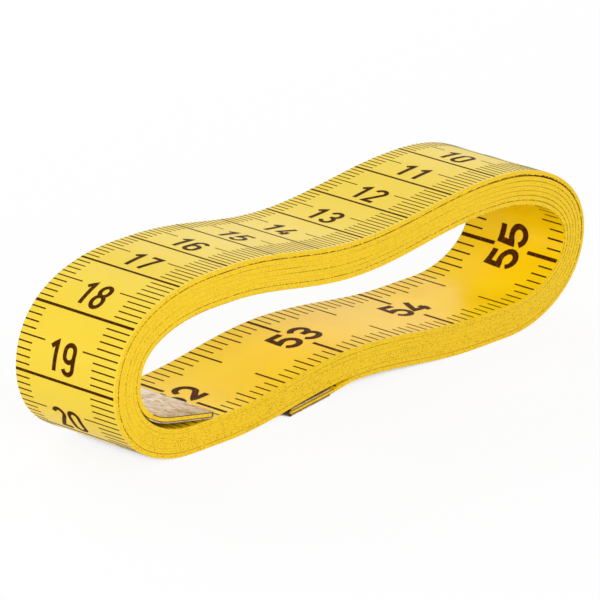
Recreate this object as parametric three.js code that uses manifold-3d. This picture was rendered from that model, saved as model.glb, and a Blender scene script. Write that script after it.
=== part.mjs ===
// A cloth tape measure wound into a flat hank that is drawn in at its waist, with a folded metal tip
// crimped on each end. Millimetres. +X runs along the hank, +Y across the tape from its front edge to
// its back edge, and +Z is up. The origin is on the surface that the hank stands on, under its middle.

import * as THREE from 'three';
import { mergeVertices } from 'three/addons/utils/BufferGeometryUtils.js';
import Module from 'manifold-3d';

// Tape
const tapeWidth = 18.3;
const tapeThickness = 0.36;

// Winding, measured round the outside of its first turn
const turns = 7;
const turnGap = 0.42; // clear space between one turn and the next
const hankLength = 103.7;
const hankHeight = 26;
const waistSpan = 56; // from the level stretch of one lobe to that of the other
const waistDepth = 2.9; // how far the top and the underside are drawn in
const waistLeadLength = 10.2; // how far each waist bend holds its direction before it turns
const footLength = 7; // level stretch that a lobe stands on
const endFullness = 0.6; // 0.55 rounds a lobe's end as an ellipse, 1 squares it

// Loose ends
const outerReach = 14.8; // from the middle of the waist to the fold of the outer tip
const innerInset = 20.55; // from the hank's end to the fold of the inside tip
const outerLeadLength = 2; // how far the outer end's bend holds its direction at each end
const innerLeadLength = 1.8; // the same for the inside end's bend
const endSlit = 0.3; // clear cut where a loose end bends away from the winding

// Metal tips
const outerTipLength = 10;
const innerTipLength = 13;
const tipSheet = 0.25;
const tipCorner = 1.2; // corner radius of the two leaves
const crimpClearance = 0.08;
const tipGap = 0.5; // clear space between a tip and the turn it lies along
const mouthGap = 0.7; // the same under the mouth of the inside tip

// Facets
const waistSteps = 7;
const endSteps = 12;
const looseSteps = 8;
const cornerSegments = 5;

const pitch = tapeThickness + turnGap;
const tipThickness = tapeThickness + 2 * (crimpClearance + tipSheet);
const vec = (x, z) => new THREE.Vector2(x, z);

// One quarter of the hank's outline, from the middle of the waist's underside to the far end.
function outlineQuarter() {
  const end = hankLength / 2;
  const middle = hankHeight / 2;
  const waist = waistSpan / 2;
  const lobe = waist + footLength;
  const waistBend = new THREE.CubicBezierCurve(
    vec(0, waistDepth),
    vec(waistLeadLength, waistDepth),
    vec(waist - waistLeadLength, 0),
    vec(waist, 0),
  );
  const foot = new THREE.LineCurve(vec(waist, 0), vec(lobe, 0));
  const endBend = new THREE.CubicBezierCurve(
    vec(lobe, 0),
    vec(lobe + endFullness * (end - lobe), 0),
    vec(end, middle * (1 - endFullness)),
    vec(end, middle),
  );
  const stations = [];
  for (const [curve, steps] of [[waistBend, waistSteps], [foot, 1], [endBend, endSteps]]) {
    for (let step = stations.length ? 1 : 0; step <= steps; step++) {
      stations.push({ point: curve.getPointAt(step / steps), along: curve.getTangentAt(step / steps) });
    }
  }
  return stations;
}

// The whole outline, anticlockwise as seen from the front edge, starting at the waist's underside.
function outlineRing() {
  const quarter = outlineQuarter();
  const middle = hankHeight / 2;
  const mirrored = (signX, signZ, way) => ({ point, along }) => ({
    point: vec(signX * point.x, middle + signZ * (point.y - middle)),
    along: vec(way * signX * along.x, way * signZ * along.y),
  });
  const outward = quarter.slice(0, -1);
  const homeward = quarter.slice(1).reverse();
  return [
    ...outward,
    ...homeward.map(mirrored(1, -1, -1)),
    ...outward.map(mirrored(-1, -1, 1)),
    ...homeward.map(mirrored(-1, 1, -1)),
  ];
}

const ring = outlineRing();

// A place on the tape: a point of its outer face, the way the tape runs and the way to the inside.
function station(point, along) {
  return { point, along, inward: vec(-along.y, along.x) };
}

// The winding moves in by one pitch each turn, along the underside of the waist. The level feet and
// the ends keep their distance, so all turns there are parallel.
function windStation(index) {
  const turn = Math.floor(index / ring.length);
  const step = index % ring.length;
  const before = Math.min(step - waistSteps, 0);
  const after = Math.max(step - (ring.length - waistSteps), 0);
  const { point, along } = ring[step];
  const place = station(point.clone(), along);
  place.point.addScaledVector(place.inward, pitch * (turn + (before + after) / (2 * waistSteps)));
  return place;
}

// The winding starts one step past the waist's middle and stops halfway down the hank's near end.
const firstIndex = 1;
const lastIndex = (turns - 1) * ring.length + ring.length * 3 / 4;
const wound = [];
for (let index = firstIndex; index <= lastIndex; index++) {
  wound.push(windStation(index));
}

// Height of a face of the tape at a place along X, among stations that run steadily along X.
function faceHeight(stations, depth, x) {
  const face = stations.map(({ point, inward }) => point.clone().addScaledVector(inward, depth));
  const next = face.findIndex((point) => point.x >= x);
  const [a, b] = [face[next - 1], face[next]];
  return a.y + (b.y - a.y) * (x - a.x) / (b.x - a.x);
}

// A bend of the tape between two stations, leaving out the first and the last of them.
function looseBend(from, to, lead) {
  const curve = new THREE.CubicBezierCurve(
    from.point,
    from.point.clone().addScaledVector(from.along, lead),
    to.point.clone().addScaledVector(to.along, -lead),
    to.point,
  );
  const bend = [];
  for (let step = 1; step < looseSteps; step++) {
    bend.push(station(curve.getPointAt(step / looseSteps), curve.getTangentAt(step / looseSteps)));
  }
  return bend;
}

// A tip's place is its mouth's middle, the way from its mouth to its fold, and its length. The tape
// stops short of its fold.
const tapeInTip = ({ length }) => length - tipThickness / 2 - crimpClearance;

// The outer tip lies along the underside of the second turn, with its fold towards the left lobe.
function outerTipPlace() {
  const underside = wound.slice(ring.length - waistSteps - firstIndex, ring.length + 1 - firstIndex);
  const foldX = -outerReach;
  const mouthX = foldX + outerTipLength;
  const fold = vec(foldX, faceHeight(underside, 0, foldX));
  const along = vec(mouthX, faceHeight(underside, 0, mouthX)).sub(fold).normalize();
  const { inward } = station(fold, along);
  const middle = fold.addScaledVector(inward, -tipGap - tipThickness / 2);
  return {
    mouth: middle.addScaledVector(along, outerTipLength),
    along: along.clone().negate(),
    length: outerTipLength,
  };
}

// The inner tip lies over the innermost full turn, and leans up towards the hank's end.
function innerTipPlace() {
  const corner = wound.slice(-ring.length, -ring.length * 3 / 4 + 1);
  const foldX = innerInset - hankLength / 2;
  const mouthX = foldX - innerTipLength;
  const fold = vec(foldX, faceHeight(corner, tapeThickness, foldX) + tipGap);
  const mouth = vec(mouthX, faceHeight(corner, tapeThickness, mouthX) + mouthGap);
  const along = fold.sub(mouth).normalize();
  const { inward } = station(mouth, along);
  return { mouth: mouth.addScaledVector(inward, tipThickness / 2), along, length: innerTipLength };
}

const outerTip = outerTipPlace();
const innerTip = innerTipPlace();

// The loose outer end, from its zero end in the tip to the start of the winding.
function outerEndRoute() {
  const along = outerTip.along.clone().negate();
  const mouth = station(outerTip.mouth.clone(), along);
  mouth.point.addScaledVector(mouth.inward, -tapeThickness / 2);
  const zero = station(mouth.point.clone().addScaledVector(along, -tapeInTip(outerTip)), along);
  return [zero, mouth, ...looseBend(mouth, wound[0], outerLeadLength)];
}

// The loose inner end, from where the winding stops to the end of the tape in its tip.
function innerEndRoute() {
  const { along } = innerTip;
  const mouth = station(innerTip.mouth.clone(), along);
  mouth.point.addScaledVector(mouth.inward, -tapeThickness / 2);
  const end = station(mouth.point.clone().addScaledVector(along, tapeInTip(innerTip)), along);
  return [...looseBend(wound.at(-1), mouth, innerLeadLength), mouth, end];
}

const outerEnd = outerEndRoute();
const innerEnd = innerEndRoute();

// Where a loose end stops short of the winding, at the clear slit that it bends at.
function atSlit(place, way) {
  return station(place.point.clone().addScaledVector(place.along, way * endSlit), place.along);
}

// Length along the middle of the tape's thickness.
function tapeLength(route) {
  const middle = route.map(({ point, inward }) => point.clone().addScaledVector(inward, tapeThickness / 2));
  return middle.slice(1).reduce((sum, point, i) => sum + point.distanceTo(middle[i]), 0);
}

function distanceToChord(point, a, b) {
  const chord = b.clone().sub(a);
  const share = THREE.MathUtils.clamp(point.clone().sub(a).dot(chord) / chord.lengthSq(), 0, 1);
  return point.distanceTo(a.clone().addScaledVector(chord, share));
}

// The tape's least gap to itself: points on its inner face, three to a step, against every chord of
// its outer face from half a turn further along.
function leastGap(route) {
  const inner = route.map(({ point, inward }) => point.clone().addScaledVector(inward, tapeThickness));
  const sides = 3;
  let least = Infinity;
  for (let i = 0; i + 1 < route.length; i++) {
    for (let share = 0; share < sides; share++) {
      const point = inner[i].clone().lerp(inner[i + 1], share / sides);
      for (let j = i + ring.length / 2; j + 1 < route.length; j++) {
        least = Math.min(least, distanceToChord(point, route[j].point, route[j + 1].point));
      }
    }
  }
  return least;
}

// The tape's four-sided section, carried from station to station and closed at both ends.
function ribbonGeometry(route) {
  const corners = 4;
  const positions = [];
  for (const { point, inward } of route) {
    const inner = point.clone().addScaledVector(inward, tapeThickness);
    for (const [place, side] of [[point, -1], [point, 1], [inner, 1], [inner, -1]]) {
      positions.push(place.x, side * tapeWidth / 2, place.y);
    }
  }
  const last = positions.length / 3 - corners;
  const faces = [0, 3, 2, 0, 2, 1, last, last + 1, last + 2, last, last + 2, last + 3];
  for (let start = 0; start < last; start += corners) {
    for (let corner = 0; corner < corners; corner++) {
      const a = start + corner;
      const b = start + (corner + 1) % corners;
      faces.push(a, b, b + corners, a, b + corners, a + corners);
    }
  }
  const geometry = new THREE.BufferGeometry();
  geometry.setAttribute('position', new THREE.Float32BufferAttribute(positions, 3));
  geometry.setIndex(faces);
  geometry.computeVertexNormals();
  return geometry;
}

const wasm = await Module();
wasm.setup();

function toManifold(geometry) {
  const bare = geometry.clone();
  bare.deleteAttribute('normal');
  bare.deleteAttribute('uv');
  const merged = mergeVertices(bare);
  const mesh = new wasm.Mesh({
    numProp: 3,
    vertProperties: Float32Array.from(merged.attributes.position.array),
    triVerts: Uint32Array.from(merged.index.array),
  });
  return new wasm.Manifold(mesh);
}

function toGeometry(manifold) {
  const mesh = manifold.getMesh();
  const geometry = new THREE.BufferGeometry();
  geometry.setAttribute('position', new THREE.BufferAttribute(mesh.vertProperties, 3));
  geometry.setIndex(new THREE.BufferAttribute(mesh.triVerts, 1));
  geometry.computeVertexNormals();
  return geometry;
}

// The sheet folded over the tape's end, seen on its edge: two leaves and the round fold between.
function foldedSheet(length) {
  const outer = tipThickness / 2;
  const inner = outer - tipSheet;
  const foldX = length - outer;
  const section = new THREE.Shape();
  section.moveTo(0, -outer);
  section.lineTo(foldX, -outer);
  section.absarc(foldX, 0, outer, -Math.PI / 2, Math.PI / 2, false);
  section.lineTo(0, outer);
  section.lineTo(0, inner);
  section.lineTo(foldX, inner);
  section.absarc(foldX, 0, inner, Math.PI / 2, -Math.PI / 2, true);
  section.lineTo(0, -inner);
  section.closePath();
  const sheet = new THREE.ExtrudeGeometry(section, {
    depth: tapeWidth,
    bevelEnabled: false,
    curveSegments: 2 * cornerSegments,
  });
  return sheet.rotateX(Math.PI / 2).translate(0, tapeWidth / 2, 0);
}

// The flat blank's outline, with its corners rounded, as a block that trims both leaves.
function leafOutline(length) {
  const half = tapeWidth / 2;
  const plan = new THREE.Shape();
  plan.moveTo(tipCorner, -half);
  plan.lineTo(length, -half);
  plan.lineTo(length, half);
  plan.lineTo(tipCorner, half);
  plan.absarc(tipCorner, half - tipCorner, tipCorner, Math.PI / 2, Math.PI, false);
  plan.absarc(tipCorner, tipCorner - half, tipCorner, Math.PI, Math.PI * 3 / 2, false);
  const block = new THREE.ExtrudeGeometry(plan, {
    depth: 2 * tipThickness,
    bevelEnabled: false,
    curveSegments: cornerSegments,
  });
  return block.translate(0, 0, -tipThickness);
}

const tapeMaterial = new THREE.MeshStandardMaterial({ color: 0xf2c71f, roughness: 0.42, metalness: 0 });
const tipMaterial = new THREE.MeshStandardMaterial({ color: 0xb3a596, roughness: 0.38, metalness: 1 });

const tapeMeasure = new THREE.Group();

function addTape(name, route) {
  const mesh = new THREE.Mesh(ribbonGeometry(route), tapeMaterial);
  mesh.name = name;
  tapeMeasure.add(mesh);
}

function addTip(name, place) {
  const solid = toManifold(foldedSheet(place.length)).intersect(toManifold(leafOutline(place.length)));
  const mesh = new THREE.Mesh(toGeometry(solid), tipMaterial);
  mesh.name = name;
  mesh.position.set(place.mouth.x, 0, place.mouth.y);
  mesh.rotation.y = Math.atan2(-place.along.y, place.along.x);
  tapeMeasure.add(mesh);
}

addTape('tape_wound', wound);
addTape('tape_outer_end', [...outerEnd, atSlit(wound[0], -1)]);
addTip('outer_end_tip', outerTip);
addTape('tape_inner_end', [atSlit(wound.at(-1), 1), ...innerEnd]);
addTip('inner_end_tip', innerTip);

const wholeTape = [...outerEnd, ...wound, ...innerEnd];
console.log(`length of the tape ${tapeLength(wholeTape).toFixed(1)} mm`);
console.log(`least gap of the tape to itself ${leastGap(wholeTape).toFixed(3)} mm`);

export default tapeMeasure;
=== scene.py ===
import bisect
import math

import bmesh
import bpy
from mathutils import Matrix, Vector
from mathutils.geometry import interpolate_bezier


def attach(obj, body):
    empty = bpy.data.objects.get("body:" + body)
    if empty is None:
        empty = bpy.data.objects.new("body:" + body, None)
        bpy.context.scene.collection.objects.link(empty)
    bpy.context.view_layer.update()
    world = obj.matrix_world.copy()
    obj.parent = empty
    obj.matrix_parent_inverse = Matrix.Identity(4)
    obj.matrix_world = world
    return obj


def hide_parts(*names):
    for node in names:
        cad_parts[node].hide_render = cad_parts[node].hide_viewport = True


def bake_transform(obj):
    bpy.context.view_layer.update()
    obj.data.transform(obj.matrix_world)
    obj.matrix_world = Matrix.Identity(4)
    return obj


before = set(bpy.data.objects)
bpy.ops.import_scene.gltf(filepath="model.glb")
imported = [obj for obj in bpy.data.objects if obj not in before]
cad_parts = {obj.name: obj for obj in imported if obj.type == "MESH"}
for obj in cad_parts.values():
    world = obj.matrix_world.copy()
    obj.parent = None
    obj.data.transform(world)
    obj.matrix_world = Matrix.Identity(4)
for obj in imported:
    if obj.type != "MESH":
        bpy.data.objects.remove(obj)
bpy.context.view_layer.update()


# The wound turns. The real strip is glass-fibre cloth with a soft yellow coating on both faces, slit to
# width, so its two edges are cut and show the ends of the threads. It is 60 inches long, wound by hand in
# seven turns and drawn in at the waist. It is made flat here, in millimetres, and then carried to its place.
MM = 0.001
tape_width = 18.3
tape_thickness = 0.70
gripped_thickness = 0.5
pressed_thickness = (0.683, 0.68, 0.63, 0.692, 0.745, 0.751, 0.735, 0.68)
turns = 7
left_reach = 52.24
right_reach = 52.45
left_end_middle = 12.94
right_end_middle = 12.52
waist_top = 23.27
waist_underside = 2.43
waist_lead = 10.2
foot_half_span = 28.0
lobe_half_span = 35.0
foot_right_fullness = (0.554, 0.587)
foot_left_fullness = (0.572, 0.6)
top_right = 25.75
top_right_from = 29.5
top_right_to = 30.9
top_right_fullness = (0.556, 0.592)
top_left = 26.05
top_left_from = 28.1
top_left_to = 31.4
top_left_fullness = (0.612, 0.648)
winding_start_x = 0.5
resting_gaps = (0.045, 0.016, 0.016, 0.016, 0.016, 0.016)
loose_gaps = (0.17, 0.02, 0.03, 0.02, 0.03, 0.03)
loose_middle = 0.335
loose_span = 0.26
bend_points = 48
level_points = 10
straight_points = 12
outer_straight = Vector((-4.76, 0, 1.67))
outer_straight_way = Vector((0.9942, 0, 0.1078))
inner_straight = Vector((-40.05, 0, 6.26))
inner_straight_way = Vector((0.9855, 0, -0.1699))
outer_bend_lead = 2.0
inner_bend_lead = 4.2
outer_straight_length = 9.41
inner_straight_length = 8.6
grip_fade = 0.3


def inward_of(way):
    """The way into the hank from a tape that runs this way."""
    return Vector((-way.z, 0, way.x))


def outline_quarter(reach, end_middle, waist, level, level_from, level_to, fullness):
    """Waist, level stretch and half an end of the hank. A reach below 0 is to the left."""
    side = math.copysign(1, reach)
    level_fullness, end_fullness = fullness
    waist_bend = interpolate_bezier(
        (0, 0, waist),
        (side * waist_lead, 0, waist),
        (side * (level_from - waist_lead), 0, level),
        (side * level_from, 0, level),
        bend_points,
    )
    level_step = (level_to - level_from) / level_points
    level_stretch = []
    for i in range(1, level_points):
        level_stretch.append(Vector((side * (level_from + level_step * i), 0, level)))
    end_bend = interpolate_bezier(
        (side * level_to, 0, level),
        (side * level_to + level_fullness * (reach - side * level_to), 0, level),
        (reach, 0, end_middle + (level - end_middle) * end_fullness),
        (reach, 0, end_middle),
        bend_points,
    )
    return waist_bend + level_stretch + end_bend


def outline_ring():
    """The outer face of the first turn, anticlockwise from the middle of the underside."""
    right = (right_reach, right_end_middle)
    left = (-left_reach, left_end_middle)
    foot = (waist_underside, 0, foot_half_span, lobe_half_span)
    under_right = outline_quarter(*right, *foot, foot_right_fullness)
    over_right = outline_quarter(
        *right, waist_top, top_right, top_right_from, top_right_to, top_right_fullness)
    over_left = outline_quarter(*left, waist_top, top_left, top_left_from, top_left_to, top_left_fullness)
    under_left = outline_quarter(*left, *foot, foot_left_fullness)
    return under_right + over_right[-2::-1] + over_left[1:] + under_left[-2:0:-1]


ring = outline_ring()


def smooth_step(share):
    share = min(max(share, 0), 1)
    return share * share * (3 - 2 * share)


def pressed_at(place):
    """How thick the soft strip is at a place from 0 to 1 round the outline: less where it is drawn tight."""
    count = len(pressed_thickness)
    whole, share = divmod(place * count, 1)
    before = pressed_thickness[int(whole) % count]
    after = pressed_thickness[int(whole + 1) % count]
    return before + (after - before) * smooth_step(share)


def turn_depth(turn, place):
    """How far in a turn's outer face lies, at a place from 0 to 1 round the outline."""
    slack = max(0, math.cos(math.pi * (place - loose_middle) / loose_span)) ** 2
    if abs(place - loose_middle) > loose_span / 2:
        slack = 0
    pitches = [pressed_at(place) + rest + slack * loose for rest, loose in zip(resting_gaps, loose_gaps)]
    whole = math.floor(turn)
    depth = sum(pitches[:whole]) if whole > 0 else whole * pitches[0]
    return depth + (turn - whole) * pitches[min(max(whole, 0), len(pitches) - 1)]


def winding():
    """Outer face, inward way and thickness of each point of the wound turns."""
    count = len(ring)
    first = next(i for i, point in enumerate(ring) if point.x >= winding_start_x)
    last = (turns - 1) * count + count * 3 // 4
    stations = []
    for index in range(first, last + 1):
        turn, step = divmod(index, count)
        point = ring[step]
        inward = inward_of((ring[(step + 1) % count] - ring[step - 1]).normalized())
        climb = 0
        if point.z < right_end_middle:
            climb = (1 - smooth_step(abs(point.x) / foot_half_span)) / 2
        if step < count / 2:
            climb = -climb
        place = step / count
        stations.append((point + inward * turn_depth(turn + climb, place), inward, pressed_at(place)))
    return stations


def loose_bend(start, start_way, end, end_way, lead):
    return interpolate_bezier(start, start + start_way * lead, end - end_way * lead, end, bend_points)


def tape_course():
    """Points of the outer face, each with its inward way, the strip's thickness and its length so far."""
    wound = winding()
    outer_leave = outer_straight - inward_of(outer_straight_way) * gripped_thickness / 2
    inner_reach = inner_straight - inward_of(inner_straight_way) * tape_thickness / 2
    first, first_inward, first_thickness = wound[0]
    last, last_inward, last_thickness = wound[-1]
    first_way = Vector((first_inward.z, 0, -first_inward.x))
    last_way = Vector((last_inward.z, 0, -last_inward.x))
    points = []
    for i in range(straight_points):
        points.append(outer_leave - outer_straight_way * outer_straight_length * (1 - i / straight_points))
    thicknesses = [gripped_thickness] * straight_points
    tail = loose_bend(outer_leave, outer_straight_way, first, first_way, outer_bend_lead)
    for i, point in enumerate(tail[:-1]):
        points.append(point)
        release = smooth_step(i / bend_points / grip_fade)
        thicknesses.append(gripped_thickness + (first_thickness - gripped_thickness) * release)
    for point, inward, thickness in wound:
        points.append(point)
        thicknesses.append(thickness)
    points += loose_bend(last, last_way, inner_reach, inner_straight_way, inner_bend_lead)[1:]
    for i in range(1, straight_points + 1):
        points.append(inner_reach + inner_straight_way * inner_straight_length * i / straight_points)
    rest = len(points) - len(thicknesses)
    swell = tape_thickness - last_thickness
    thicknesses += [last_thickness + swell * smooth_step(i / rest) for i in range(rest)]
    inwards = []
    for i, point in enumerate(points):
        before = points[max(i - 1, 0)]
        after = points[min(i + 1, len(points) - 1)]
        inwards.append(inward_of((after - before).normalized()))
    middles = [p + inward * depth / 2 for p, inward, depth in zip(points, inwards, thicknesses)]
    lengths = [0.0]
    for before, after in zip(middles, middles[1:]):
        lengths.append(lengths[-1] + (after - before).length)
    return points, inwards, thicknesses, lengths


course_points, course_inwards, course_thicknesses, course_lengths = tape_course()
tape_length = course_lengths[-1]


def wind(length, across, depth, lift=0.0):
    """Where a spot of the flat tape comes to lie.

    Its depth is a share of the thickness, from 0 at the outer face to 1 at the inner face, and lift is
    a height over the outer face, or under 0, over the inner face.
    """
    i = min(max(bisect.bisect_right(course_lengths, length), 1), len(course_lengths) - 1)
    share = (length - course_lengths[i - 1]) / (course_lengths[i] - course_lengths[i - 1])
    point = course_points[i - 1].lerp(course_points[i], share)
    inward = course_inwards[i - 1].lerp(course_inwards[i], share).normalized()
    thickness = course_thicknesses[i - 1] + (course_thicknesses[i] - course_thicknesses[i - 1]) * share
    spot = point + inward * (depth * thickness - lift)
    return Vector((spot.x, across, spot.z)) * MM


def length_where(test, start=0.0):
    """Length of tape up to the first point of its course that passes a test."""
    for point, length in zip(course_points, course_lengths):
        if length > start and test(point):
            return length


# The strip is cut where its loose ends leave the turns, at a place along the hank and at a height.
seam_x = 6.5
seam_z = 15.5
last_stretch = 60
most_of_a_turn = 200
outer_seam = length_where(lambda p: p.x > seam_x)
inner_seam = length_where(lambda p: p.z < seam_z, tape_length - last_stretch)
one_turn = length_where(lambda p: p.z < seam_z and p.x > seam_x, outer_seam + most_of_a_turn)


class Socket:
    """An output of a node, which can be used in sums and as the start of further nodes."""

    def __init__(self, tree, output):
        self.tree = tree
        self.output = output

    def node(self, kind, sockets=None, out=0, **settings):
        """A new node with its settings, and with values or links for its sockets."""
        made = self.tree.nodes.new(kind)
        for name, value in settings.items():
            setattr(made, name, value)
        for name, value in (sockets or {}).items():
            if isinstance(value, Socket):
                self.tree.links.new(value.output, made.inputs[name])
            else:
                made.inputs[name].default_value = value
        return Socket(self.tree, made.outputs[out])

    def beside(self, out):
        """Another output of the same node."""
        return Socket(self.tree, self.output.node.outputs[out])

    def math(self, operation, a, b=0.0):
        return self.node("ShaderNodeMath", {0: a, 1: b}, operation=operation)

    def __add__(self, other):
        return self.math("ADD", self, other)

    def __radd__(self, other):
        return self.math("ADD", other, self)

    def __sub__(self, other):
        return self.math("SUBTRACT", self, other)

    def __rsub__(self, other):
        return self.math("SUBTRACT", other, self)

    def __mul__(self, other):
        return self.math("MULTIPLY", self, other)

    def __rmul__(self, other):
        return self.math("MULTIPLY", other, self)

    def above(self, low, high):
        """0 below low, 1 above high and a smooth rise between them."""
        sockets = {"Value": self, "From Min": low, "From Max": high}
        return self.node("ShaderNodeMapRange", sockets, interpolation_type="SMOOTHSTEP")

    def tint(self, first, second):
        """A colour that goes from first to second as this value goes from 0 to 1."""
        sockets = {"Factor": self, 6: first, 7: second}
        return self.node("ShaderNodeMix", sockets, out=2, data_type="RGBA")


def new_finish(name):
    """A bare material and the start of its nodes."""
    finish = bpy.data.materials.new(name)
    finish.use_nodes = True
    finish.node_tree.nodes.clear()
    return finish, Socket(finish.node_tree, None)


def set_surface(finish, shader):
    output = finish.node_tree.nodes.new("ShaderNodeOutputMaterial")
    finish.node_tree.links.new(shader.output, output.inputs["Surface"])


face_yellow = (0.925, 0.662, 0.004, 1)
face_deep_yellow = (0.905, 0.62, 0.002, 1)
# Painted sheen: the outer face is paler than the inner face.
face_sheen_yellow = (0.905, 0.664, 0.058, 1)
edge_yellow = (0.835, 0.53, 0.014, 1)
edge_pale = (0.875, 0.62, 0.030, 1)
thread_brown = (0.30, 0.145, 0.003, 1)
# Painted shadow for the gaps between turns and under the edges of the metal leaves.
painted_gap_shadow = (0.12, 0.05, 0.002, 1)
warp_pitch = 0.42
weft_pitch = 0.5
sheen_share = 0.85
cut_from = tape_width / 2 - 0.07
cut_full = tape_width / 2 - 0.03

# Heights over the table and places along the hank, in metres as the finish reads them.
near_table_height = 0.003
far_from_table_height = 0.009
loose_end_from = 0.041
loose_end_full = 0.048

# Where the painted shadow lines run on the cut edges: how deep from the outer face, and along which lengths
# of tape.
gap_shadow_from = tape_thickness - 0.17
gap_shadow_full = tape_thickness - 0.08
grip_shadow_full = 0.08
grip_shadow_end = 0.15
first_gap_shadow_fade = 30
last_gap_shadow_from = tape_length - 450
last_gap_shadow_full = tape_length - 410
last_gap_shadow_fade = tape_length - 230
last_gap_shadow_end = tape_length - 200
outer_covered = 9.7
inner_covered = tape_length - 13.3
cover_fade = 0.3


def coated_cloth_finish():
    finish, start = new_finish("yellow_coated_cloth")
    flat = start.node("ShaderNodeAttribute", out=1, attribute_name="flat")
    along = flat.node("ShaderNodeSeparateXYZ", {0: flat})
    across = along.beside(1)
    deep = along.beside(2)

    # Faces: a coating that is a little thicker here and there, over a fine plain weave. The face that lies
    # outside is painted paler, a painted sheen.
    cloud = flat.node("ShaderNodeTexNoise", {"Vector": flat, "Scale": 0.11, "Detail": 3.0})
    face = cloud.above(0.35, 0.7).tint(face_yellow, face_deep_yellow)
    outside = 1 - deep.above(tape_thickness * 0.3, tape_thickness * 0.7)
    face = (outside * sheen_share).tint(face, face_sheen_yellow)
    warp = flat.math("SINE", across * (2 * math.pi / warp_pitch))
    weft = flat.math("SINE", along * (2 * math.pi / weft_pitch))
    weave = warp * weft

    # Cut edges: the ends of the threads as brown dots in a coating that crumbles a little at the knife.
    # They are painted stronger low down, near the table, a painted shade.
    place = start.node("ShaderNodeSeparateXYZ", {0: start.node("ShaderNodeTexCoord", out=3)})
    above_table = place.beside(2).above(near_table_height, far_from_table_height)
    cut = flat.math("ABSOLUTE", across).above(cut_from, cut_full)
    ends = flat.node("ShaderNodeCombineXYZ", {"X": along, "Y": deep})
    dots = ends.node("ShaderNodeTexVoronoi", {"Vector": ends, "Scale": 2.3}, voronoi_dimensions="2D")
    thread = (1 - dots.above(0.14, 0.36)) * dots.beside(1).above(0.45, 0.72)
    crumbs = ends.node("ShaderNodeTexNoise", {"Vector": ends, "Scale": 5.0, "Detail": 2.0, "Roughness": 0.7})
    edge = crumbs.above(0.36, 0.66).tint(edge_yellow, edge_pale)
    # Painted shade: the dots are darker near the table.
    edge = (thread * (0.7 - above_table * 0.35)).tint(edge, thread_brown)

    # A dotted painted shadow line where one turn lies on the next, for the gap between them: plain under the
    # first turn, weaker over the last turn and at the loose right end, and patchy elsewhere. The hank's
    # weight presses it shut underneath.
    beads = ends.node("ShaderNodeTexNoise", {"Vector": ends, "Scale": 2.6, "Detail": 1.0})
    patches = along.node("ShaderNodeTexNoise", {"W": along, "Scale": 0.03, "Detail": 1.0},
                         noise_dimensions="1D")
    plain = 1 - along.above(one_turn - first_gap_shadow_fade, one_turn)
    weak = along.above(last_gap_shadow_from, last_gap_shadow_full)
    weak = weak * (1 - along.above(last_gap_shadow_fade, last_gap_shadow_end)) * 0.7
    weak = flat.math("MAXIMUM", weak, place.above(loose_end_from, loose_end_full) * 0.6)
    shown = flat.math("MAXIMUM", plain, flat.math("MAXIMUM", weak, patches.above(0.42, 0.7) * 0.55))
    shown = shown * (0.25 + above_table * 0.75)
    line = deep.above(gap_shadow_from, gap_shadow_full)
    edge = (line * beads.above(0.37, 0.54) * shown).tint(edge, painted_gap_shadow)

    # A painted shadow line along each leaf of metal that grips the tape, where the leaf's edge shades the
    # tape's edge.
    free = along.above(outer_covered - cover_fade, outer_covered)
    free = free * (1 - along.above(inner_covered, inner_covered + cover_fade))
    middle = deep.above(grip_shadow_full, grip_shadow_end)
    middle = middle * (1 - deep.above(tape_thickness - grip_shadow_end, tape_thickness - grip_shadow_full))
    edge = ((1 - free) * (1 - middle) * 0.85).tint(edge, painted_gap_shadow)

    # The coating is a little smeared, and the cut edges are dull.
    smear = flat.node("ShaderNodeTexNoise", {"Vector": flat, "Scale": 0.5, "Detail": 4.0, "Roughness": 0.6})
    relief = weave * (1 - cut) * 0.3 + (crumbs - thread) * cut + smear * 0.4
    bump = relief.node("ShaderNodeBump", {"Height": relief, "Strength": 0.12, "Distance": 0.00004})
    shader = flat.node(
        "ShaderNodeBsdfPrincipled",
        {
            "Base Color": cut.tint(face, edge),
            "Roughness": 0.28 + smear * 0.10 + cut * 0.35,
            "Normal": bump,
            "IOR": 1.48,
            "Specular IOR Level": 0.14,
        },
    )
    set_surface(finish, shader)
    return finish


coated_cloth = coated_cloth_finish()
station_length = 0.5
edge_round = 0.012
corner_angle = 1
hard_angle = math.radians(15)


def finished_object(name, bm, finish):
    """The mesh as an object of the scene, with its sharp edges kept hard."""
    mesh = bpy.data.meshes.new(name)
    bm.to_mesh(mesh)
    bm.free()
    mesh.materials.append(finish)
    mesh.shade_smooth()
    mesh.set_sharp_from_angle(angle=hard_angle)
    made = bpy.data.objects.new(name, mesh)
    bpy.context.scene.collection.objects.link(made)
    return made


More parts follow.
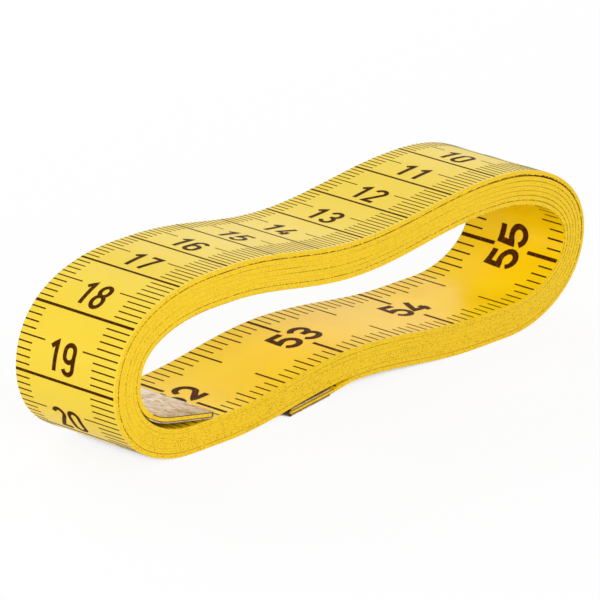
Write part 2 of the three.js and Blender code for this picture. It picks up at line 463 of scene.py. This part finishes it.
def tape_strip(name, start, end):
    """A stretch of the tape, made flat with its edges eased, and then wound."""
    bm = bmesh.new()
    columns = round((end - start) / station_length)
    bmesh.ops.create_grid(bm, x_segments=columns, y_segments=1, size=1)
    bmesh.ops.scale(bm, vec=((end - start) / 2, tape_width / 2, 1), verts=bm.verts)
    bmesh.ops.translate(bm, vec=((start + end) / 2, 0, 0), verts=bm.verts)
    lifted = bmesh.ops.extrude_face_region(bm, geom=bm.faces[:], use_keep_orig=True)["geom"]
    inner_face = [v for v in lifted if isinstance(v, bmesh.types.BMVert)]
    bmesh.ops.translate(bm, vec=(0, 0, tape_thickness), verts=inner_face)
    bmesh.ops.recalc_face_normals(bm, faces=bm.faces)
    long_edges = [e for e in bm.edges if e.calc_face_angle(0) > corner_angle
                  and e.verts[0].co.yz == e.verts[1].co.yz]
    bmesh.ops.bevel(bm, geom=long_edges, offset=edge_round, offset_type="OFFSET", segments=2, profile=0.5,
                    affect="EDGES", material=-1)
    flat = bm.verts.layers.float_vector.new("flat")
    for v in bm.verts:
        v[flat] = v.co
        v.co = wind(v.co.x, v.co.y, v.co.z / tape_thickness)
    return finished_object(name, bm, coated_cloth)


tape_turns = tape_strip("tape_turns", outer_seam, inner_seam)
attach(tape_turns, "hank")
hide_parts("tape_wound")


# The loose outer end. The strip's first few millimetres leave the winding under the waist and lie along it,
# with the zero end gripped in its tip. The real cloth is whole there and bends where it leaves the turns;
# here this stretch is a mesh of its own.
tape_outer_tail = tape_strip("tape_outer_tail", 0.0, outer_seam)
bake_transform(tape_outer_tail)
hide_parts("tape_outer_end")


# The loose inner end. The last of the strip comes down inside the left end of the hank and runs into the
# inner tip, which lies over the innermost turn. The real cloth bends where it leaves the end of the hank;
# here this stretch is a mesh of its own.
tape_inner_tail = tape_strip("tape_inner_tail", inner_seam, tape_length)
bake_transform(tape_inner_tail)
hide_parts("tape_inner_end")


# The printed scales. Dark brown ink, printed flat on both faces before the strip is slit: centimetres on
# the face that lies outside, inches on the face that lies inside. Each mark is a film on the coating.
# It is printed where a face of the tape can be seen, at rest or with an end bent away.
ink_film = 0.014
ink_lift = 0.004
ink_brown = (0.062, 0.0155, 0.0006, 1)
ink_worn = (0.12, 0.05, 0.004, 1)
pen_step = 0.45
mitre_limit = 0.62
no_gap = 1e-6
closing_gap = 1e-4
merge_gap = 0.0005
print_lap = 20
centimetre_zero = 0.33
inch_zero = 0.7


def ink_finish():
    finish, start = new_finish("printing_ink")
    place = start.node("ShaderNodeTexCoord", out=3)
    grain = place.node("ShaderNodeTexNoise", {"Vector": place, "Scale": 2500.0, "Detail": 2.0})
    shader = place.node(
        "ShaderNodeBsdfPrincipled",
        {
            "Base Color": grain.above(0.45, 0.75).tint(ink_brown, ink_worn),
            "Roughness": 0.32 + grain * 0.1,
            "IOR": 1.2,
            "Specular IOR Level": 0.06,
        },
    )
    set_surface(finish, shader)
    return finish


printing_ink = ink_finish()


def arc(centre_x, centre_y, radius_x, radius_y, start, stop, steps=14):
    angles = [math.radians(start + (stop - start) * i / steps) for i in range(steps + 1)]
    return [(centre_x + radius_x * math.cos(a), centre_y + radius_y * math.sin(a)) for a in angles]


def digit_strokes(digit, w, h):
    """The pen's strokes for a digit, in a box of w by h: a technical hand with round bowls."""
    r = w / 2
    upper = 0.24 * h
    lower = 0.26 * h
    waist = 2 * lower
    six = arc(r, h - r, r, r, 15, 180) + arc(r, r, r, r, 180, 360) + arc(r, 0.58 * h - r, r, r, 0, 180)
    return {
        "0": [arc(r, h - r, r, r, 0, 180) + arc(r, r, r, r, 180, 360) + [(w, h - r)]],
        "1": [[(0.10 * w, 0.79 * h), (0.66 * w, h), (0.66 * w, 0)]],
        "2": [arc(r, h - r, r, r, 172, -32) + [(0, 0), (w, 0)]],
        "3": [
            arc(r, h - upper, r, upper, 165, -90) + [(0.32 * w, waist)],
            [(0.32 * w, waist)] + arc(r, lower, r, lower, 90, -165),
        ],
        "4": [
            [(0.60 * w, h), (0, 0.25 * h), (w, 0.25 * h)],
            [(0.74 * w, 0.48 * h), (0.74 * w, 0)],
        ],
        "5": [[(0.94 * w, h), (0.10 * w, h), (0.03 * w, 0.49 * h)] + arc(r, 0.3 * h, r, 0.3 * h, 130, -160)],
        "6": [six],
        "7": [[(0, h), (w, h), (0.34 * w, 0)]],
        "8": [arc(r, h - upper, 0.92 * r, upper, 0, 360, 24), arc(r, lower, r, lower, 0, 360, 24)],
        "9": [[(w - x, h - y) for x, y in six]],
    }[digit]


def pen_points(stroke):
    """The stroke with points close enough together to follow the bends of the tape."""
    points = [Vector(stroke[0])]
    for corner in stroke[1:]:
        gap = Vector(corner) - points[-1]
        steps = max(1, math.ceil(gap.length / pen_step))
        start = points[-1]
        if gap.length > no_gap:
            points += [start + gap * i / steps for i in range(1, steps + 1)]
    return points


def draw_stroke(bm, stroke, pen, to_flat):
    """A stroke of even width, mitred at its corners, laid down edge by edge."""
    points = pen_points(stroke)
    closed = (points[0] - points[-1]).length < closing_gap
    last = len(points) - 1
    edge = None
    for i, point in enumerate(points):
        before = points[i - 1] if i else (points[last - 1] if closed else points[0])
        after = points[i + 1] if i < last else (points[1] if closed else points[last])
        arrive = (point - before).normalized() if (point - before).length else (after - point).normalized()
        leave = (after - point).normalized() if (after - point).length else arrive
        way = (arrive + leave).normalized()
        reach = pen / 2 / max(way.dot(leave), mitre_limit)
        side = Vector((-way.y, way.x)) * reach
        left, right = to_flat(point + side), to_flat(point - side)
        if edge is None:
            edge = bm.edges.new((bm.verts.new(left), bm.verts.new(right)))
            start_left = edge.verts[0]
            continue
        tail_left = start_left
        made = bmesh.ops.extrude_edge_only(bm, edges=[edge])["geom"]
        edge = next(e for e in made if isinstance(e, bmesh.types.BMEdge) and e.is_boundary
                    and not set(e.verts) & {tail_left})
        for vert in edge.verts:
            neighbour = next(e.other_vert(vert) for e in vert.link_edges if e != edge)
            vert.co = left if neighbour == tail_left else right
            if neighbour == tail_left:
                start_left = vert


def draw_number(bm, number, size, to_flat):
    """A number, centred on the place that to_flat gives the spot (0, 0), which is on its foot line."""
    digit_w, digit_h, pen, space = size
    text = str(number)
    x = -(len(text) * (digit_w + pen) + (len(text) - 1) * space) / 2 + pen / 2
    for digit in text:
        for stroke in digit_strokes(digit, digit_w, digit_h - pen):
            draw_stroke(bm, [(x + px, pen / 2 + py) for px, py in stroke], pen, to_flat)
        x += digit_w + pen + space


def draw_line(bm, length, weight, start, stop):
    """A straight line across the tape."""
    place = Matrix.Translation((length, (start + stop) / 2, 0))
    bmesh.ops.create_grid(bm, x_segments=1, y_segments=1, size=0.5,
                          matrix=place @ Matrix.Diagonal((weight, abs(stop - start), 1, 1)))


half_width = tape_width / 2
centimetre_line = 0.42
centimetre_margin = 0.3
millimetre_line = 0.20
millimetre_margin_back = 0.02
millimetre_margin_front = 0.4
millimetre_reach = (0.135 * tape_width, 0.23 * tape_width)
half_centimetre_reach = (0.25 * tape_width, 0.35 * tape_width)
digit_size_cm = (1.68, 4.68, 0.66, 0.37)
digit_middle_cm = 1.1
digit_foot_cm = 1.0


def draw_centimetres(bm, start, end):
    """Lines and numbers of the centimetre scale between two lengths of the tape."""
    first = max(1, math.ceil(start - centimetre_zero))
    for step in range(first, math.floor(end - centimetre_zero) + 1):
        length = centimetre_zero + step
        if step % 10 == 0:
            draw_line(bm, length, centimetre_line, centimetre_margin - half_width, half_width)
            foot = length - digit_foot_cm

            def to_flat(spot, foot=foot):
                return Vector((foot - spot.y, digit_middle_cm - spot.x, 0))
            if start < foot - digit_size_cm[1] and foot < end:
                draw_number(bm, step // 10, digit_size_cm, to_flat)
            continue
        back, front = half_centimetre_reach if step % 5 == 0 else millimetre_reach
        front_end = millimetre_margin_front - half_width
        draw_line(bm, length, millimetre_line, half_width - back, half_width - millimetre_margin_back)
        draw_line(bm, length, millimetre_line, front_end, front_end + front)


inch = 25.4
inch_lines = {16: (5.5, 0.64), 8: (5.5, 0.37), 4: (3.6, 0.31), 2: (2.8, 0.29), 1: (2.5, 0.27)}
inch_parts = 16
inch_margin_back = 0.1
inch_margin_front = 0.3
back_line_extra = 0.8
digit_size_inch = (3.05, 5.2, 0.98, 0.22)
number_half_length = 4


def draw_inches(bm, start, end):
    """Lines and numbers of the inch scale between two lengths of the tape."""
    first = max(1, math.ceil((start - inch_zero) / inch * inch_parts))
    for step in range(first, math.floor((end - inch_zero) / inch * inch_parts) + 1):
        length = inch_zero + step * inch / inch_parts
        size = next(n for n in inch_lines if step % n == 0)
        reach, weight = inch_lines[size]
        front_end = inch_margin_front - half_width
        draw_line(bm, length, weight, half_width - reach - back_line_extra, half_width - inch_margin_back)
        draw_line(bm, length, weight, front_end, front_end + reach)

        def to_flat(spot, length=length):
            return Vector((length + spot.x, spot.y - digit_size_inch[1] / 2, 0))
        fits = start < length - number_half_length and length + number_half_length < end
        if size == inch_parts and fits:
            draw_number(bm, step // inch_parts, digit_size_inch, to_flat)


def printed_film(name, draw, inside, start, end):
    """The marks of a stretch of the tape as a thin film on one of its faces."""
    bm = bmesh.new()
    draw(bm, start, end)
    bmesh.ops.remove_doubles(bm, verts=bm.verts, dist=merge_gap)
    bmesh.ops.recalc_face_normals(bm, faces=bm.faces)
    lifted = bmesh.ops.extrude_face_region(bm, geom=bm.faces[:], use_keep_orig=True)["geom"]
    upper = [v for v in lifted if isinstance(v, bmesh.types.BMVert)]
    bmesh.ops.translate(bm, vec=(0, 0, ink_film), verts=upper)
    for v in bm.verts:
        lift = ink_lift + v.co.z
        v.co = wind(v.co.x, v.co.y, 1, -lift) if inside else wind(v.co.x, v.co.y, 0, lift)
    bmesh.ops.recalc_face_normals(bm, faces=bm.faces)
    film = finished_object(name, bm, printing_ink)
    return film


last_turn = tape_length - (one_turn - outer_seam) - print_lap
print_cm_turns = printed_film("print_cm_turns", draw_centimetres, False, outer_seam, one_turn)
print_inch_turns = printed_film("print_inch_turns", draw_inches, True, last_turn, inner_seam)
for film in (print_cm_turns, print_inch_turns):
    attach(film, "hank")
print_cm_outer = printed_film("print_cm_outer_tail", draw_centimetres, False, outer_covered, outer_seam)
print_inch_outer = printed_film("print_inch_outer_tail", draw_inches, True, outer_covered, outer_seam)
for film in (print_cm_outer, print_inch_outer):
    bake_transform(film)
print_cm_inner = printed_film("print_cm_inner_tail", draw_centimetres, False, inner_seam, inner_covered)
print_inch_inner = printed_film("print_inch_inner_tail", draw_inches, True, inner_seam, inner_covered)
for film in (print_cm_inner, print_inch_inner):
    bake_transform(film)
(inner_seam - outer_seam) * MM
outer_seam * MM
(tape_length - inner_seam) * MM


# The two tips. Each is a blank of tinned sheet metal with rounded corners, folded over an end of the tape
# and pressed flat so that its mouth bites into the coating. Its sides stay open and show the tape's edge.
outer_tip_length = 10.0
inner_tip_length = 13.6
tip_overhang = 0.59
tip_sheet = 0.17
tip_height = 1.1
tip_corner = 1.2
tip_edge_round = 0.05
fold_cuts = 14
leaf_cuts = 16
bite_cuts = 3
bite_length = 0.9
bite_depth = 0.03
tip_hard_angle = math.radians(40)
outer_fold_painted_shade = 1.0
inner_fold_painted_shade = 0.2
fold_shade_half_width = 0.6
fold_shade_fade_to = 1.1
tin_pale = (0.715, 0.60, 0.445, 1)
tin_dull = (0.56, 0.445, 0.31, 1)
tin_stain = (0.30, 0.20, 0.12, 1)
# Painted shade at the fold of each tip.
fold_shade_dark = (0.09, 0.055, 0.03, 1)


def tip_metal_finish():
    finish, start = new_finish("tinned_tip")
    place = start.node("ShaderNodeTexCoord", out=3)
    patch = place.node("ShaderNodeTexNoise", {"Vector": place, "Scale": 600.0, "Detail": 4.0})
    streak = place.node("ShaderNodeMapping", {"Vector": place, "Scale": (1600, 1000, 1600)})
    stain = streak.node("ShaderNodeTexNoise",
                        {"Vector": streak, "Scale": 1.0, "Detail": 3.0, "Roughness": 0.7})
    dents = place.node("ShaderNodeTexVoronoi", {"Vector": place, "Scale": 900.0}, feature="SMOOTH_F1")
    dull = patch.above(0.40, 0.72)
    dark = stain.above(0.50, 0.66)
    tin = (dark * 0.6).tint(dull.tint(tin_pale, tin_dull), tin_stain)

    # Painted shade: the blank is painted dark where it is folded, for the shade at the tip's end, most of
    # all on the zero end.
    blank = place.node("ShaderNodeAttribute", out=1, attribute_name="blank")
    along = blank.node("ShaderNodeSeparateXYZ", {0: blank})
    fold_shade = along.beside(2) * (1 - along.math("ABSOLUTE", along).above(fold_shade_half_width, fold_shade_fade_to))
    relief = dents * 0.4 + patch * 0.6
    bump = relief.node("ShaderNodeBump", {"Height": relief, "Strength": 0.2, "Distance": 0.00005})
    shader = place.node(
        "ShaderNodeBsdfPrincipled",
        {
            "Base Color": fold_shade.tint(tin, fold_shade_dark),
            "Metallic": 1.0,
            "Roughness": 0.40 + dull * 0.14 + dark * 0.15,
            "Normal": bump,
        },
    )
    set_surface(finish, shader)
    return finish


tip_metal = tip_metal_finish()


def folded_tip(name, tape_end, way, tip_length, fold_painted_shade):
    """The blank, cut flat, given its thickness, folded over an end of the tape and bent along with it.

    The way is 1 at the end of the tape and -1 at its zero end. The fold's painted shade is a share from 0 to
    1.
    """
    fold_radius = (tip_height - tip_sheet) / 2
    leaf_length = tip_length - tip_height / 2
    fold_arc = math.pi * fold_radius
    blank_half = leaf_length + fold_arc / 2
    bm = bmesh.new()
    bmesh.ops.create_grid(bm, x_segments=1, y_segments=1, size=1)
    bmesh.ops.scale(bm, vec=(blank_half, half_width, 1), verts=bm.verts)
    bmesh.ops.bevel(bm, geom=bm.verts[:], offset=tip_corner, offset_type="OFFSET", segments=6, profile=0.5,
                    affect="VERTICES", material=-1)
    cuts = [fold_arc * (i / fold_cuts - 0.5) for i in range(fold_cuts + 1)]
    leaf_step = (leaf_length - bite_length) / leaf_cuts
    for side in (-1, 1):
        cuts += [side * (blank_half - bite_length * i / bite_cuts) for i in range(1, bite_cuts + 1)]
        cuts += [side * (fold_arc / 2 + leaf_step * i) for i in range(1, leaf_cuts)]
    for cut in cuts:
        geom = bm.verts[:] + bm.edges[:] + bm.faces[:]
        bmesh.ops.bisect_plane(bm, geom=geom, plane_co=(cut, 0, 0), plane_no=(1, 0, 0))
    lifted = bmesh.ops.extrude_face_region(bm, geom=bm.faces[:], use_keep_orig=True)["geom"]
    upper = [v for v in lifted if isinstance(v, bmesh.types.BMVert)]
    bmesh.ops.translate(bm, vec=(0, 0, tip_sheet), verts=upper)
    bmesh.ops.translate(bm, vec=(0, 0, -tip_sheet / 2), verts=bm.verts)
    bmesh.ops.recalc_face_normals(bm, faces=bm.faces)
    rim = [e for e in bm.edges if e.calc_face_angle(0) > corner_angle]
    bmesh.ops.bevel(bm, geom=rim, offset=tip_edge_round, offset_type="OFFSET", segments=2, profile=0.5,
                    affect="EDGES", material=-1)
    blank = bm.verts.layers.float_vector.new("blank")
    for v in bm.verts:
        along, across, height = v.co
        v[blank] = (along, across, fold_painted_shade)
        turn = min(max(along / fold_radius, -math.pi / 2), math.pi / 2)
        beyond = max(abs(along) - fold_arc / 2, 0)
        bite = bite_depth * (1 - smooth_step((leaf_length - beyond) / bite_length))
        radius = fold_radius - height - bite
        past_end = tip_overhang - tip_height / 2 - beyond + radius * math.cos(turn)
        v.co = wind(tape_end + way * past_end, across, 0.5, radius * math.sin(turn))
    bmesh.ops.recalc_face_normals(bm, faces=bm.faces)
    tip = finished_object(name, bm, tip_metal)
    tip.data.set_sharp_from_angle(angle=tip_hard_angle)
    return tip


tip_outer = folded_tip("tip_outer", 0, -1, outer_tip_length, outer_fold_painted_shade)
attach(tip_outer, "outer_end")
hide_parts("outer_end_tip")
tip_inner = folded_tip("tip_inner", tape_length, 1, inner_tip_length, inner_fold_painted_shade)
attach(tip_inner, "inner_end")
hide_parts("inner_end_tip")


# The studio: a white table in a white room that is darker overhead, with a large soft lamp in front, one
# behind, and two weak ones at the left and at the far right. The table is seen as white and keeps a small
# share of the hank's real shadow; a painted shadow from ambient occlusion darkens its seen colour, deep only
# under the waist.
table_size = 3.0
table_drop = 0.00002
table_white = (0.97, 0.97, 0.97, 1)
shade_brown = (0.03, 0.015, 0.006, 1)
shade_reach = 0.016
shade_full = 0.02
shade_none = 0.06
shadow_share = 0.10
room_light = 0.53
room_overhead = 0.4
overhead_from = 0.2
overhead_full = 0.6


def seen_directly(start):
    """1 for what the camera sees, straight or in a shiny or clear surface."""
    ray = start.node("ShaderNodeLightPath")
    return ray.math("MAXIMUM", ray, ray.math("MAXIMUM", ray.beside("Is Glossy Ray"),
                                             ray.beside("Is Transmission Ray")))


def table_finish():
    finish, start = new_finish("white_table")
    matt = start.node("ShaderNodeBsdfDiffuse", {"Color": table_white})
    # Painted shadow: the table's seen colour turns dark brown where the hank closes off the open sky nearby.
    open_sky = start.node("ShaderNodeAmbientOcclusion", {"Distance": shade_reach}, out=1, samples=40)
    shade = open_sky.above(shade_full, shade_none).tint(shade_brown, (1, 1, 1, 1))
    white = start.node("ShaderNodeEmission", {"Color": shade, "Strength": 1.0})
    share = seen_directly(start) * (1 - shadow_share)
    set_surface(finish, start.node("ShaderNodeMixShader", {0: share, 1: matt, 2: white}))
    return finish


bm = bmesh.new()
bmesh.ops.create_grid(bm, x_segments=1, y_segments=1, size=table_size / 2)
bmesh.ops.translate(bm, vec=(0, 0, -table_drop), verts=bm.verts)
table = finished_object("table", bm, table_finish())

world = bpy.data.worlds.new("room")
world.use_nodes = True
world.node_tree.nodes.clear()
start = Socket(world.node_tree, None)
up = start.node("ShaderNodeSeparateXYZ", {0: start.node("ShaderNodeTexCoord")}, out=2)
light = start.node("ShaderNodeBackground", {"Color": (1, 1, 1, 1), "Strength": room_light})
horizon = start.node("ShaderNodeBackground", {"Color": (1, 1, 1, 1), "Strength": 1.0})
overhead = start.node("ShaderNodeBackground", {"Color": (1, 1, 1, 1), "Strength": room_overhead})
high = up.above(overhead_from, overhead_full)
seen_room = start.node("ShaderNodeMixShader", {0: high, 1: horizon, 2: overhead})
room = start.node("ShaderNodeMixShader", {0: seen_directly(start), 1: light, 2: seen_room})
sky = world.node_tree.nodes.new("ShaderNodeOutputWorld")
world.node_tree.links.new(room.output, sky.inputs["Surface"])
bpy.context.scene.world = world


def soft_lamp(name, place, size, power, colour=(1, 1, 1)):
    data = bpy.data.lights.new(name, "AREA")
    data.shape = "RECTANGLE"
    data.size, data.size_y = size
    data.energy = power
    data.color = colour
    lamp = bpy.data.objects.new(name, data)
    lamp.location = place
    lamp.rotation_euler = (-Vector(place)).to_track_quat("-Z", "Y").to_euler()
    bpy.context.scene.collection.objects.link(lamp)


soft_lamp("lamp_front", (-0.42, -0.57, 0.38), (0.6, 0.5), 3.65, (1.0, 0.965, 0.95))
soft_lamp("lamp_behind", (0.14, 0.69, 0.37), (0.6, 0.4), 3.05, (0.925, 1.0, 0.97))
soft_lamp("lamp_left", (-0.60, 0.45, 0.15), (0.4, 0.3), 0.35)
soft_lamp("lamp_far", (0.66, 0.50, 0.27), (0.5, 0.25), 0.3)

# The camera stands where the photograph was taken from, a little rolled.
camera_place = Vector((-0.7098, -0.5771, 0.3272))
camera_right = Vector((0.6421, -0.7656, 0.0402))
camera_up = Vector((0.2255, 0.2388, 0.9446))
camera_back = -Vector((0.7327, 0.5974, -0.3259))
camera_data = bpy.data.cameras.new("camera")
camera_data.sensor_width = 36
camera_data.lens = 406
camera_data.clip_start = 0.01
camera = bpy.data.objects.new("camera", camera_data)
camera.matrix_world = Matrix.Translation(camera_place) @ Matrix(
    (camera_right, camera_up, camera_back)).transposed().to_4x4()
bpy.context.scene.collection.objects.link(camera)
bpy.context.scene.camera = camera
bpy.context.scene.view_settings.view_transform = "Standard"
